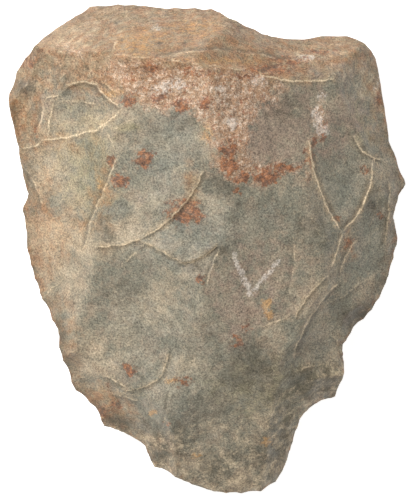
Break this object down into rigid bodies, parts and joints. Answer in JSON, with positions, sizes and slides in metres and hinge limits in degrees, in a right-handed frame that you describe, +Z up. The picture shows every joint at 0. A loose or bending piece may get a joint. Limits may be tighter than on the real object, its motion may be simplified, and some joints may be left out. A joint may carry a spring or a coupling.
{
  "type": "stone hand axe",
  "caption": "Knapped stone hand axe: a thick, heart-shaped core with a blunt butt, flake hollows on both faces, a wavy edge and a rounded tip, lying on its flatter face.",
  "frame": {"origin": "on the surface that the stone lies on, under the middle of its outline seen from above", "axes": "+Z up out of the worked face, +Y from the tip to the butt, +X to the right with the butt away from the viewer"},
  "size_m": [0.105, 0.1296, 0.0491],
  "materials": {
    "stone": "matt grey-olive fine-grained stone with a tan patina, pale worn ridges and rust stains"
  },
  "bodies": {
    "root": {"hand_axe": "stone"}
  },
  "joints": []
}
